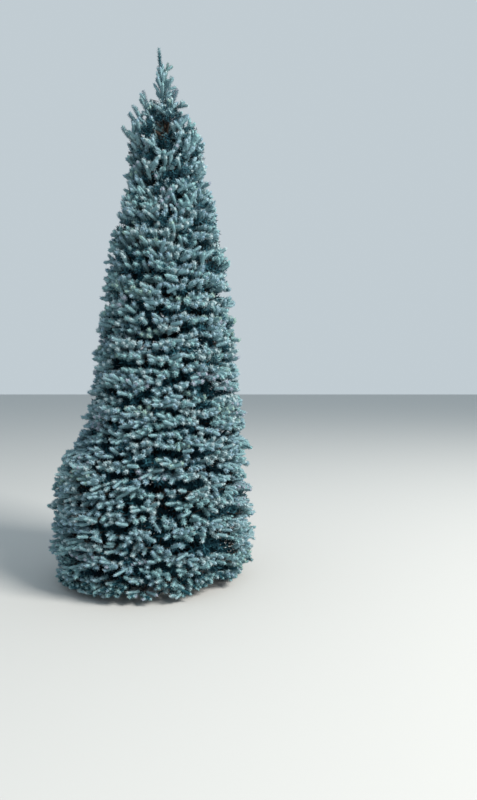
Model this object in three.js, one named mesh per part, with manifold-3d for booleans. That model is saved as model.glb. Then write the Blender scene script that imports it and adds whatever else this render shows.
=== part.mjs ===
// Blue spruce: a whole tree, 4.15 m tall, with a dense and narrow cone of foliage in tiers.
// Millimetres, +Z up. The origin is the middle of the trunk's flat cut at ground level.
// The trunk runs whole from the cut to the foot of the leader. Boughs stand on it in tiers, and
// round it lie the masses of foliage, each a stem with twigs that end in sprays of needles.
import * as THREE from "three";
import { mergeVertices } from "three/addons/utils/BufferGeometryUtils.js";
import Module from "manifold-3d";

const wasm = await Module();
wasm.setup();

const { lerp, clamp, smoothstep, degToRad } = THREE.MathUtils;

// The whole tree
const TREE_HEIGHT = 4150;
const TOUCHING_GAP = 0.3;
// Room round the limbs is cut twice, the second time for the hair-thin edges left by rounding
const LIMB_GAPS = [TOUCHING_GAP, 0.8 * TOUCHING_GAP];
const SEED = 41;

// The trunk: a slight sweep to one side, an even taper and five root swellings
const TRUNK_TOP = 3800;
const TRUNK_SWEEP = 72;
// The higher this is, the further up the sweep is at its widest
const SWEEP_RISE = 1.5;
const TRUNK_FOOT_RADIUS = 62;
const TRUNK_TIP_RADIUS = 8;
const TRUNK_SIDES = 15;
const TRUNK_RINGS = 8;
// The rings stand closer near the ground, for the flare
const TRUNK_RING_SPREAD = 1.7;
const FLARE_RADIUS = 34;
const FLARE_HEIGHT = 110;
const FLARE_LOBES = 5;

// The crown's outline, as [height, radius] of the furthest tips, from the hem to the leader
const CROWN_OUTLINE = [
  [0, 730],
  [120, 790],
  [320, 825],
  [620, 810],
  [980, 740],
  [1230, 645],
  [1700, 590],
  [2150, 545],
  [2600, 482],
  [2900, 412],
  [3100, 340],
  [3450, 318],
  [3700, 240],
  [3850, 140],
  [3950, 85],
  [TREE_HEIGHT, 25],
];
// Below SKIRT_TOP the crown reaches further to one side, -X
const SKIRT_TOP = 1080;
const SKIRT_STEP = 150;
const SKIRT_LEAN = 60;
const SKIRT_AZIMUTH = Math.PI;

// Tiers of foliage: how many masses stand side by side in each, and how deep the lowest tier is.
// Each tier upwards is shallower by TIER_SHRINK and turned by the golden angle
const MASSES_IN_TIER = [5, 5, 4, 4, 3, 3, 3, 3, 3, 2, 2];
const TIERS_WITH_BOUGHS = 4;
const HEM_HEIGHT = 30;
const LOWEST_TIER_DEPTH = 391;
const TIER_SHRINK = 9;
const GOLDEN_ANGLE = degToRad(137.5);
// A tier's foot on the trunk lies this share lower than its edge at the crown's face, or MOST_RISE
const RISE_SHARE = 0.09;
const MOST_RISE = 190;
// Tiers wave up and down round the tree, the lowest edge less than the others
const WAVE_HEIGHT = 42;
const HEM_WAVE_HEIGHT = 12;
// How clear the needles stay of the neighbouring masses' spaces
const SIDE_GAP = 6;
const TIER_GAP = 6;

// Boughs in the lowest tiers, and the stems of the masses, which carry on the line of the boughs
const BOUGH_ROOT_RADIUS = 19;
const TOP_BOUGH_ROOT_RADIUS = 7;
const STEM_TIP_RADIUS = 4;
const BOUGH_SIDES = 5;
const BOUGH_STEPS = 2;
const STEM_SIDES = 3;
const STEM_STEPS = 3;
const STEM_START = 0.02;
const BOUGH_SHARE = 0.36;
const STEM_LEVEL = 0.46;
const STEM_SAG = 0.12;
const STEM_SWERVE = degToRad(7);

// The dense inside of a mass: a rough cushion, in shares of the mass's own space
const CORE_WIDTH = 0.95;
const CORE_HEIGHT = 0.45;
const CORE_START = 0.25;
const CORE_ROUNDING = 0.1;
const CORE_ROUGHNESS = 0.05;
const CORE_COLUMN = degToRad(30);

// Sprays of needles stand on twigs from the stem, in staggered rows up the face of a mass
const SPRAY_LEVELS = [0.17, 0.52, 0.87];
const SPRAY_SPACING = 238;
const TOP_SPRAY_SPACING = 207;
const LEVEL_SPREAD = 0.05;
const INSET_SPREAD = 0.05;
const TURN_SPREAD = 0.16;
const STEEP_INSET = 0.12;
const LOW_SPRAY_RISE = 0.1;
const TOP_SPRAY_RISE = 0.75;
const TWIG_FORK = 0.6;
const TWIG_FORK_INSET = 0.1;
const TWIG_END = 0.08;
const TWIG_RADIUS = 4.5;
// A spray: a slim three-sided core with needle points standing out of it, as [out, along] shares
const LOW_SPRAY_LENGTH = 240;
const TOP_SPRAY_LENGTH = 130;
const SPRAY_SLIMNESS = 0.21;
const SPRAY_PROFILE = [
  [0, 0],
  [1, 0.66],
  [0.5, 0.6],
  [0, 1],
];
const SPRAY_SUNK = 0.42;
const LONGEST_SPRAY = 1.1;
const SHORTEST_SPRAY = 0.6;
// Small faces are cleared from a mass, by the first of these with which its corners round well
const FUSE_TOLERANCES = [1.5, 1, 0.5, 0.2, 0.1];
const CORNER_GAP = 0.01;

// The leader shoot above the trunk, with its ring of upright side shoots
const LEADER_SLIMNESS = 0.1;
const LEADER_SHOOTS = 8;
const LOWEST_SHOOT = 5;
const LEADER_SHOOTS_RISE = 90;
const LEADER_SHOOT_LENGTH = 150;
const LOW_SHOOT_TILT = degToRad(34);
const HIGH_SHOOT_TILT = degToRad(18);

const BARK = new THREE.MeshStandardMaterial({ color: 0x5b4a3e, roughness: 0.9, metalness: 0 });
const NEEDLES = new THREE.MeshStandardMaterial({ color: 0x6f8f96, roughness: 0.75, metalness: 0 });

/** Returns a function that gives the same run of numbers from 0 to 1 for the same seed. */
function seededRandom(seed) {
  let state = (seed * 7919 + 104729) % 2147483647;
  const next = () => {
    state = (state * 48271) % 2147483647;
    return state / 2147483647;
  };
  next();
  return next;
}

/** The crown's radius at a height, between the stations of its outline. */
function crownRadius(height) {
  const last = CROWN_OUTLINE.length - 1;
  const upper = CROWN_OUTLINE.findIndex(([h]) => h >= height);
  if (upper === 0) return CROWN_OUTLINE[0][1];
  if (upper < 0) return CROWN_OUTLINE[last][1];
  const [h0, r0] = CROWN_OUTLINE[upper - 1];
  const [h1, r1] = CROWN_OUTLINE[upper];
  return lerp(r0, r1, (height - h0) / (h1 - h0));
}

/** How far the crown reaches from the trunk's axis at a height and azimuth. */
function reach(height, azimuth) {
  const lean = SKIRT_LEAN * (1 - smoothstep(height, SKIRT_TOP - SKIRT_STEP, SKIRT_TOP));
  return crownRadius(height) + lean * Math.cos(azimuth - SKIRT_AZIMUTH);
}

/** The trunk's axis, which sweeps towards +X and back. */
function trunkAxis(height) {
  const rise = (Math.max(height, 0) / TREE_HEIGHT) ** SWEEP_RISE;
  return new THREE.Vector3(TRUNK_SWEEP * Math.sin(Math.PI * rise), 0, height);
}

/** How far a point lies from the trunk's axis, and at which azimuth. */
function polar(point) {
  const away = point.clone().sub(trunkAxis(point.z));
  return { radius: Math.hypot(away.x, away.y), azimuth: Math.atan2(away.y, away.x) };
}

/** The trunk's radius, with the root flare near the ground. */
function trunkRadius(height, azimuth) {
  const taper = lerp(TRUNK_FOOT_RADIUS, TRUNK_TIP_RADIUS, clamp(height / TRUNK_TOP, 0, 1));
  const lobes = 0.65 + 0.35 * Math.cos(FLARE_LOBES * azimuth);
  return taper + FLARE_RADIUS * lobes * Math.exp(-height / FLARE_HEIGHT);
}

/** The height at which a tier's lower surface meets the crown's face. */
function tierEdge(level) {
  return HEM_HEIGHT + LOWEST_TIER_DEPTH * level - (TIER_SHRINK * level * (level - 1)) / 2;
}

/** How far a tier's edge waves up from its mean height at an azimuth. */
function tierWave(level, azimuth) {
  const height = level > 0 ? WAVE_HEIGHT : HEM_WAVE_HEIGHT;
  const wide = Math.sin(3 * azimuth + 2.1 * level);
  const narrow = Math.sin(5 * azimuth - 1.3 * level);
  return height * (0.6 * wide + 0.4 * narrow);
}

/** How far a tier's lower surface rises from the trunk to its edge. */
function tierRise(edge) {
  return Math.min(RISE_SHARE * edge, MOST_RISE);
}

/** The height of a tier's lower surface, a cone that rises from the trunk to the crown's face. */
function tierSurface(level, azimuth, radius) {
  const edge = tierEdge(level);
  const outwards = clamp(radius / reach(edge, azimuth), 0, 1);
  return edge - tierRise(edge) * (1 - outwards) + tierWave(level, azimuth) * outwards;
}

/** The space that one mass of foliage keeps to: a tier, a sector of it and what follows from them. */
class FoliageSpace {
  constructor(tier, sector) {
    this.tier = tier;
    this.random = seededRandom(SEED + 131 * tier + 17 * sector);
    this.halfWidth = Math.PI / MASSES_IN_TIER[tier];
    this.azimuth = tier * GOLDEN_ANGLE + 2 * this.halfWidth * sector;
    this.swerve = STEM_SWERVE * (2 * this.random() - 1);
    const height = (tierEdge(tier) + tierEdge(tier + 1)) / 2;
    this.share = height / TREE_HEIGHT;
    this.reach = reach(height, this.azimuth);
    this.sprayLength = lerp(LOW_SPRAY_LENGTH, TOP_SPRAY_LENGTH, this.share);
    this.sprayRise = lerp(LOW_SPRAY_RISE, TOP_SPRAY_RISE, this.share);
    this.sprayDepth = ((1 - SPRAY_SUNK) * this.sprayLength) / Math.hypot(1, 1.5 * this.sprayRise);
    this.stemReach = this.reach - this.sprayDepth;
    this.start = tier < TIERS_WITH_BOUGHS ? BOUGH_SHARE * this.stemReach : 0;
    this.coreStart = Math.max(this.start + TIER_GAP, CORE_START * this.stemReach);
  }

  /** A point at an azimuth, a radius and a share of the way up through the tier. */
  point(azimuth, radius, share) {
    const low = tierSurface(this.tier, azimuth, radius);
    const high = tierSurface(this.tier + 1, azimuth, radius);
    const at = trunkAxis(lerp(low, high, share));
    return at.add(new THREE.Vector3(radius * Math.cos(azimuth), radius * Math.sin(azimuth), 0));
  }

  /** How far the crown reaches at an azimuth, at a share of the way up the tier's edge. */
  faceReach(azimuth, share) {
    return reach(lerp(tierEdge(this.tier), tierEdge(this.tier + 1), share), azimuth);
  }

  /** A point on the line of bough and stem, from the trunk's axis at 0 to the stem's tip at 1. */
  stemPoint(share) {
    const level = STEM_LEVEL - STEM_SAG * Math.sin(Math.PI * share);
    const radius = share * this.stemReach;
    return this.point(this.azimuth + this.swerve * share * share, radius, level);
  }

  /** The radius of bough and stem at a share of the way to the stem's tip. */
  stemRadius(share) {
    const root = lerp(BOUGH_ROOT_RADIUS, TOP_BOUGH_ROOT_RADIUS, this.share);
    return lerp(root, STEM_TIP_RADIUS, share);
  }

  /** Directions at an azimuth: away from the trunk, sideways, and up from the tier's slope. */
  directions(azimuth) {
    const flat = new THREE.Vector3(Math.cos(azimuth), Math.sin(azimuth), 0);
    const side = new THREE.Vector3(-Math.sin(azimuth), Math.cos(azimuth), 0);
    const edge = tierEdge(this.tier + 0.5);
    const out = flat.clone().setZ(tierRise(edge) / reach(edge, azimuth)).normalize();
    return { flat, side, up: out.cross(side) };
  }

  /** True if a point lies in this space, clear of its neighbours' spaces and of the trunk. */
  holds(point) {
    const { radius, azimuth } = polar(point);
    if (radius > reach(point.z, azimuth) + 1) return false;
    if (radius < Math.max(this.start, trunkRadius(point.z, azimuth)) + TOUCHING_GAP) return false;
    const turned = azimuth - this.azimuth;
    const toSide = this.halfWidth - Math.abs(Math.atan2(Math.sin(turned), Math.cos(turned)));
    if (toSide <= 0 || (toSide < Math.PI / 2 && radius * Math.sin(toSide) < SIDE_GAP)) return false;
    const low = tierSurface(this.tier, azimuth, radius);
    const high = tierSurface(this.tier + 1, azimuth, radius);
    return point.z > low + TIER_GAP && point.z < high - TIER_GAP;
  }
}

/** A closed geometry as a solid for the booleans. */
function solidOf(geometry) {
  const bare = new THREE.BufferGeometry();
  bare.setAttribute("position", geometry.getAttribute("position"));
  if (geometry.index) bare.setIndex(geometry.index);
  const merged = mergeVertices(bare, 1e-3);
  const mesh = new wasm.Mesh({
    numProp: 3,
    vertProperties: merged.getAttribute("position").array,
    triVerts: new Uint32Array(merged.index.array),
  });
  return new wasm.Manifold(mesh);
}

/** A solid's faces as a geometry for the scene graph. */
function geometryOf(solid) {
  const mesh = solid.getMesh();
  const geometry = new THREE.BufferGeometry();
  geometry.setAttribute("position", new THREE.BufferAttribute(mesh.vertProperties, 3));
  geometry.setIndex(new THREE.BufferAttribute(mesh.triVerts, 1));
  geometry.computeVertexNormals();
  return geometry;
}

/** True if a solid keeps clear of a room once its corners are rounded, and none fall together. */
function roundsWell(solid, room) {
  const geometry = geometryOf(solid).deleteAttribute("normal");
  const corners = geometry.getAttribute("position").count;
  if (mergeVertices(geometry, CORNER_GAP).getAttribute("position").count < corners) return false;
  return solidOf(geometry).intersect(room).volume() === 0;
}

/** One solid of many pieces, without any scrap that hangs loose from the largest. */
function fused(pieces) {
  const whole = pieces.reduce((sum, piece) => sum.add(piece));
  const bodies = whole.decompose();
  return bodies.reduce((best, body) => (body.volume() > best.volume() ? body : best));
}

/** A solid without the room of each of several grown limbs. */
function cleared(solid, rooms) {
  return fused([rooms.reduce((rest, room) => rest.subtract(room), solid)]);
}

/** The trunk as a geometry, grown outwards by a margin, on level rings up its swept axis. */
function trunkGeometry(margin = 0) {
  const geometry = new THREE.CylinderGeometry(1, 1, 1, TRUNK_SIDES, TRUNK_RINGS);
  const at = geometry.getAttribute("position");
  for (let i = 0; i < at.count; i++) {
    const height = (TRUNK_TOP + margin) * (0.5 + at.getY(i)) ** TRUNK_RING_SPREAD;
    const azimuth = Math.atan2(-at.getZ(i), at.getX(i));
    const share = Math.hypot(at.getX(i), at.getZ(i));
    const radius = share * (trunkRadius(height, azimuth) + margin);
    const axis = trunkAxis(height);
    at.setXYZ(i, axis.x + radius * Math.cos(azimuth), axis.y + radius * Math.sin(azimuth), height);
  }
  return geometry;
}

/** A round limb that tapers along a curve, grown outwards by a margin. */
function limbGeometry(points, rootRadius, tipRadius, sides, margin = 0) {
  const steps = points.length - 1;
  const geometry = new THREE.CylinderGeometry(1, 1, 1, sides, steps);
  const curve = new THREE.CatmullRomCurve3(points);
  const frames = curve.computeFrenetFrames(steps);
  const at = geometry.getAttribute("position");
  for (let i = 0; i < at.count; i++) {
    const share = 0.5 + at.getY(i);
    const ring = Math.round(share * steps);
    const onAxis = at.getX(i) === 0 && at.getZ(i) === 0;
    const radius = onAxis ? 0 : lerp(rootRadius, tipRadius, share) + margin;
    const past = share === 1 ? margin : share === 0 ? -margin : 0;
    const moved = curve.getPointAt(share).addScaledVector(frames.tangents[ring], past);
    moved.addScaledVector(frames.binormals[ring], radius * at.getX(i));
    moved.addScaledVector(frames.normals[ring], radius * at.getZ(i));
    at.setXYZ(i, moved.x, moved.y, moved.z);
  }
  return geometry;
}

/** One spray of needles from a root point, in a direction, turned about its own line. */
function sprayGeometry(root, direction, length, turn, slimness = SPRAY_SLIMNESS) {
  const width = slimness * length;
  const profile = SPRAY_PROFILE.map(([out, along]) => new THREE.Vector2(out * width, along * length));
  const geometry = new THREE.LatheGeometry(profile, 3);
  const aim = new THREE.Quaternion().setFromUnitVectors(new THREE.Vector3(0, 1, 0), direction);
  return geometry.rotateY(turn).applyQuaternion(aim).translate(root.x, root.y, root.z);
}

/** True if a test holds at every corner of a geometry. */
function everyCorner(geometry, test) {
  const at = geometry.getAttribute("position");
  const corner = (_, i) => new THREE.Vector3().fromBufferAttribute(at, i);
  return Array.from({ length: at.count }, corner).every(test);
}

/** The dense inside of a mass: a cushion with rounded edges that fills the middle of its space. */
function coreGeometry(space) {
  const columns = Math.ceil((2 * space.halfWidth) / CORE_COLUMN);
  const geometry = new THREE.BoxGeometry(2, 2, 2, 1, columns, 2);
  const at = geometry.getAttribute("position");
  for (let i = 0; i < at.count; i++) {
    const [along, across, up] = [at.getX(i), at.getY(i), at.getZ(i)];
    const rounded = 1 - CORE_ROUNDING * (up * up + across ** 4);
    const azimuth = space.azimuth + CORE_WIDTH * space.halfWidth * across;
    const bumpy = 1 + CORE_ROUGHNESS * Math.sin(9 * across + 5 * up + 2 * space.tier);
    const share = 0.5 + CORE_HEIGHT * up;
    const end = space.faceReach(azimuth, share) - space.sprayDepth;
    const radius = along > 0 ? lerp(space.coreStart, end, rounded * bumpy) : space.coreStart;
    const moved = space.point(azimuth, radius, share);
    at.setXYZ(i, moved.x, moved.y, moved.z);
  }
  return geometry;
}

/** The points of the line of bough and stem between two shares of its length. */
function stemLine(space, from, to, steps) {
  return Array.from({ length: steps + 1 }, (_, i) => space.stemPoint(lerp(from, to, i / steps)));
}

/** The places of a mass's sprays on its face: how far across it and at which level. */
function sprayPlaces(space) {
  const spacing = lerp(SPRAY_SPACING, TOP_SPRAY_SPACING, space.share);
  const columns = Math.max(3, Math.round((2 * space.halfWidth * space.reach) / spacing));
  const places = [];
  for (const [row, level] of SPRAY_LEVELS.entries()) {
    const shift = row % 2 ? 0.75 : 0.25;
    for (let column = 0; column < columns; column++) {
      const spread = LEVEL_SPREAD * (2 * space.random() - 1);
      places.push({ across: (2 * (column + shift)) / columns - 1, level: level + spread });
    }
  }
  return places;
}

/** The twig to one place and its spray, shortened where it must be; nothing where none fits. */
function sprayOnTwig(space, { across, level }) {
  const spread = (most) => most * (2 * space.random() - 1);
  const azimuth = space.azimuth + space.halfWidth * across;
  const inset = INSET_SPREAD * space.random();
  const tip = space.point(azimuth, space.faceReach(azimuth, level) * (1 - inset), level);
  const innermost = space.coreStart / space.stemReach + TWIG_FORK_INSET;
  const furthest = Math.max(TWIG_FORK, innermost);
  const fork = space.stemPoint(lerp(furthest, innermost, Math.abs(across)));
  const { flat, side, up } = space.directions(azimuth);
  const rise = space.sprayRise * (0.25 + level) + spread(TURN_SPREAD);
  const direction = tip.clone().sub(fork).normalize();
  direction.addScaledVector(side, spread(TURN_SPREAD)).addScaledVector(up, rise).normalize();
  tip.addScaledVector(flat, -STEEP_INSET * space.sprayLength * direction.z);
  const turn = 2 * Math.PI * space.random();
  const inSpace = (corner) => space.holds(corner);
  for (let share = LONGEST_SPRAY; share >= SHORTEST_SPRAY; share -= 0.1) {
    const length = share * space.sprayLength;
    const root = tip.clone().addScaledVector(direction, -length);
    const spray = sprayGeometry(root, direction, length, turn);
    if (!everyCorner(spray, inSpace)) continue;
    const foot = root.clone().addScaledVector(direction, TWIG_END * length);
    const twig = limbGeometry([fork, foot], TWIG_RADIUS, TWIG_RADIUS / 2, 3);
    return everyCorner(twig, inSpace) ? [solidOf(twig), solidOf(spray)] : [];
  }
  return [];
}

/** One mass: its stem, core and twigs with their sprays of needles, cut clear of its limbs. */
function foliageSolid(space, stemFrom, limbRooms) {
  const line = stemLine(space, stemFrom, 1, STEM_STEPS);
  const stem = limbGeometry(line, space.stemRadius(stemFrom), STEM_TIP_RADIUS, STEM_SIDES);
  const sprays = sprayPlaces(space).flatMap((place) => sprayOnTwig(space, place));
  const mass = fused([solidOf(coreGeometry(space)), solidOf(stem), ...sprays]);
  const cut = (tolerance) => cleared(mass.simplify(tolerance), limbRooms);
  const best = FUSE_TOLERANCES.find((tolerance) => roundsWell(cut(tolerance), limbRooms.at(-1)));
  return cut(best ?? 0);
}

/** True if a point lies above the topmost tier. */
function aboveTiers(point) {
  const { radius, azimuth } = polar(point);
  return point.z > tierSurface(MASSES_IN_TIER.length, azimuth, radius) + TIER_GAP;
}

/** The leader shoot that stands on the trunk's tip, with its ring of upright side shoots. */
function leaderSolid(trunkRooms) {
  const foot = trunkAxis(TRUNK_TOP);
  const tip = trunkAxis(TREE_HEIGHT);
  const height = foot.distanceTo(tip);
  const up = tip.clone().sub(foot).normalize();
  const along = (share) => foot.clone().lerp(tip, share);
  const stem = limbGeometry([foot, along(0.6)], TRUNK_TIP_RADIUS, STEM_TIP_RADIUS, 6);
  const leader = sprayGeometry(along(0.3), up, 0.7 * height, 0, LEADER_SLIMNESS);
  const pieces = [solidOf(stem), solidOf(leader)];
  for (let shoot = 0; shoot < LEADER_SHOOTS; shoot++) {
    const share = shoot / (LEADER_SHOOTS - 1);
    const azimuth = (shoot - LEADER_SHOOTS + 1) * GOLDEN_ANGLE;
    const tilt = lerp(LOW_SHOOT_TILT, HIGH_SHOOT_TILT, share);
    const direction = new THREE.Vector3().setFromSphericalCoords(1, tilt, azimuth + Math.PI / 2);
    direction.set(direction.x, -direction.z, direction.y);
    const root = foot.clone().addScaledVector(up, LOWEST_SHOOT + LEADER_SHOOTS_RISE * share);
    const length = LEADER_SHOOT_LENGTH * (1 - 0.2 * share);
    const spray = sprayGeometry(root, direction, length, 2 * shoot);
    if (everyCorner(spray, aboveTiers)) pieces.push(solidOf(spray));
  }
  return cleared(fused(pieces), trunkRooms);
}

/** A named mesh of the tree. */
function named(name, geometry, material) {
  const mesh = new THREE.Mesh(geometry, material);
  mesh.name = name;
  return mesh;
}

/** The whole tree as a group of named meshes. */
function blueSpruce() {
  const tree = new THREE.Group();
  tree.add(named("trunk", trunkGeometry(), BARK));
  const trunkRooms = LIMB_GAPS.map((gap) => solidOf(trunkGeometry(gap)));
  for (let tier = 0; tier < MASSES_IN_TIER.length; tier++) {
    for (let sector = 0; sector < MASSES_IN_TIER[tier]; sector++) {
      const space = new FoliageSpace(tier, sector);
      const label = `${String(tier + 1).padStart(2, "0")}_${"abcde"[sector]}`;
      let stemFrom = STEM_START;
      let limbRooms = trunkRooms;
      if (tier < TIERS_WITH_BOUGHS) {
        stemFrom = BOUGH_SHARE;
        const line = stemLine(space, STEM_START, BOUGH_SHARE, BOUGH_STEPS);
        const shape = [line, space.stemRadius(0), space.stemRadius(BOUGH_SHARE), BOUGH_SIDES];
        const bough = cleared(solidOf(limbGeometry(...shape)), trunkRooms);
        tree.add(named(`bough_${label}`, geometryOf(bough), BARK));
        const boughRooms = LIMB_GAPS.map((gap) => solidOf(limbGeometry(...shape, gap)));
        limbRooms = trunkRooms.map((room, i) => room.add(boughRooms[i]));
      }
      const mass = foliageSolid(space, stemFrom, limbRooms);
      tree.add(named(`foliage_${label}`, geometryOf(mass), NEEDLES));
    }
  }
  tree.add(named("foliage_leader", geometryOf(leaderSolid(trunkRooms)), NEEDLES));
  return tree;
}

export default blueSpruce();
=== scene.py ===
"""Blue spruce tree: a whole young tree with a dense, narrow cone of silver-blue shoots.

The trunk and its limbs are modelled with relief in their bark. Round them the foliage grows on by the
rule of the tree's solids: tiers of masses, a stem in each, and from the stem branches that end at the
crown's face. Here the rule is carried on to finer twigs, which end in shoots clad with needles.
Metres, +Z up, the origin in the middle of the trunk's flat cut at ground level.
"""

import logging
import math
from collections.abc import Callable, Iterable, Sequence
from dataclasses import dataclass, field
from enum import Enum

import bpy
import numpy as np
from mathutils import Color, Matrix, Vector


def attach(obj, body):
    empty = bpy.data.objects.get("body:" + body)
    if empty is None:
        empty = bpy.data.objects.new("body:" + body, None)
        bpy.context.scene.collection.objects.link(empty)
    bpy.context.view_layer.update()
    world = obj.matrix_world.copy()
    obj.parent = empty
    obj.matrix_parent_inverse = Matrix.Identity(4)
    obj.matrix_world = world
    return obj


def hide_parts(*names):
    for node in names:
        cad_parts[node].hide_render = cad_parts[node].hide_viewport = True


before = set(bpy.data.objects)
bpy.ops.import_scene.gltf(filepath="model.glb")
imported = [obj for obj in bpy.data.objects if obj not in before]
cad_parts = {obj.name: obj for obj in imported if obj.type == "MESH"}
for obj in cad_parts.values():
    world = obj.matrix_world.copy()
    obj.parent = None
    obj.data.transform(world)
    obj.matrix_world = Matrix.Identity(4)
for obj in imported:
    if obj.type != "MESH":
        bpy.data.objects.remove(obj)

LOG = logging.getLogger("blue_spruce")
Array = np.ndarray
Value = float | np.ndarray
GOLDEN_ANGLE = math.radians(137.5)
NEARLY_NOTHING = 1e-9
UP = np.array([0.0, 0.0, 1.0])
# A direction times this is its level part.
LEVEL = np.array([1.0, 1.0, 0.0])


def lerp(start: Value, end: Value, share: Value) -> Value:
    """Return the value at a share of the way between two values."""
    return start + (end - start) * share


def smooth_step(share: float) -> float:
    """Return a share that starts and ends gently as it goes from 0 to 1."""
    share = min(max(share, 0.0), 1.0)
    return share * share * (3 - 2 * share)


def unit(vector: Array) -> Array:
    """Return a vector scaled to a length of one."""
    return vector / max(float(np.linalg.norm(vector)), NEARLY_NOTHING)


def unit_rows(vectors: Array) -> Array:
    """Return vectors, one row each, scaled to a length of one."""
    return vectors / np.linalg.norm(vectors, axis=1)[:, None]


def outward(azimuth: float) -> Array:
    """Return the level direction away from the trunk at an azimuth."""
    return np.array([math.cos(azimuth), math.sin(azimuth), 0.0])


def linear(hex_colour: str) -> tuple[float, float, float, float]:
    """Turn a colour as seen on a screen into the values that a shader takes.

    Args:
        hex_colour: Red, green and blue as six hexadecimal digits.

    Returns:
        Linear red, green and blue, and full opacity.
    """
    shown = Color([part / 255 for part in bytes.fromhex(hex_colour)])
    return (*shown.from_srgb_to_scene_linear(), 1.0)


# The rule of the solids.


class SeededRun:
    """The run of numbers from 0 to 1 that the solids draw on, the same for the same seed."""

    SEED_FACTOR = 7919
    SEED_SHIFT = 104729
    FACTOR = 48271
    MODULUS = 2147483647

    def __init__(self, seed: int) -> None:
        """Start the run, and drop its first number as the solids do."""
        self.state = (seed * self.SEED_FACTOR + self.SEED_SHIFT) % self.MODULUS
        self.draw()

    def draw(self) -> float:
        """Return the next number."""
        self.state = (self.state * self.FACTOR) % self.MODULUS
        return self.state / self.MODULUS


@dataclass(frozen=True)
class Crown:
    """The sizes of the whole tree and the tiers of its crown, as in the solids."""

    height: float = 4.15
    seed: int = 41
    trunk_top: float = 3.8
    trunk_sweep: float = 0.072
    sweep_rise: float = 1.5
    trunk_foot_radius: float = 0.062
    trunk_tip_radius: float = 0.008
    flare_radius: float = 0.034
    flare_height: float = 0.11
    flare_lobes: int = 5
    flare_evenness: float = 0.65
    outline: tuple[tuple[float, float], ...] = (
        (0.0, 0.73),
        (0.12, 0.79),
        (0.32, 0.825),
        (0.62, 0.81),
        (0.98, 0.74),
        (1.23, 0.645),
        (1.7, 0.59),
        (2.15, 0.545),
        (2.6, 0.482),
        (2.9, 0.412),
        (3.1, 0.34),
        (3.45, 0.318),
        (3.7, 0.24),
        (3.85, 0.14),
        (3.95, 0.085),
        (4.15, 0.025),
    )
    skirt_top: float = 1.08
    skirt_step: float = 0.15
    skirt_lean: float = 0.06
    masses_in_tier: tuple[int, ...] = (5, 5, 4, 4, 3, 3, 3, 3, 3, 2, 2)
    tiers_with_boughs: int = 4
    hem_height: float = 0.03
    lowest_tier_depth: float = 0.391
    tier_shrink: float = 0.009
    rise_share: float = 0.09
    most_rise: float = 0.19
    wave_height: float = 0.042
    hem_wave_height: float = 0.012
    # The waves of a tier's surface: how many round the trunk, their turn from tier to tier, their part.
    waves: tuple[tuple[int, float, float], ...] = ((3, 2.1, 0.6), (5, -1.3, 0.4))

    def reach(self, height: float, azimuth: float) -> float:
        """Work out how far the crown reaches from the trunk's axis.

        Args:
            height: The height above the ground.
            azimuth: The azimuth round the trunk.

        Returns:
            The reach in metres.
        """
        heights, radii = zip(*self.outline)
        step = smooth_step((height - self.skirt_top + self.skirt_step) / self.skirt_step)
        lean = self.skirt_lean * (1 - step)
        return float(np.interp(height, heights, radii)) - lean * math.cos(azimuth)

    def trunk_axis(self, height: float) -> Array:
        """Return the point of the trunk's swept axis at a height."""
        rise = (max(height, 0.0) / self.height) ** self.sweep_rise
        return np.array([self.trunk_sweep * math.sin(math.pi * rise), 0.0, height])

    def trunk_radius(self, height: float, azimuth: float) -> float:
        """Work out the trunk's radius, with the root flare.

        Args:
            height: The height above the ground.
            azimuth: The azimuth round the trunk.

        Returns:
            The radius in metres.
        """
        share = min(max(height / self.trunk_top, 0.0), 1.0)
        lobes = lerp(math.cos(self.flare_lobes * azimuth), 1.0, self.flare_evenness)
        flare = self.flare_radius * lobes * math.exp(-height / self.flare_height)
        return lerp(self.trunk_foot_radius, self.trunk_tip_radius, share) + flare

    def tier_edge(self, level: float) -> float:
        """Return the height at which a tier's lower surface meets the crown's face."""
        shrink = self.tier_shrink * level * (level - 1) / 2
        return self.hem_height + self.lowest_tier_depth * level - shrink

    def tier_rise(self, edge: float) -> float:
        """Return how far a tier's lower surface rises from the trunk to its edge."""
        return min(self.rise_share * edge, self.most_rise)

    def tier_surface(self, level: float, azimuth: float, radius: float) -> float:
        """Work out the height of the wavy surface under a tier.

        Args:
            level: The tier's number, counted from the ground.
            azimuth: The azimuth round the trunk.
            radius: The distance from the trunk's axis.

        Returns:
            The surface's height in metres.
        """
        edge = self.tier_edge(level)
        outwards = min(max(radius / self.reach(edge, azimuth), 0.0), 1.0)
        height = self.wave_height if level > 0 else self.hem_wave_height
        wave = sum(part * math.sin(count * azimuth + turn * level) for count, turn, part in self.waves)
        return edge - self.tier_rise(edge) * (1 - outwards) + height * wave * outwards


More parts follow.
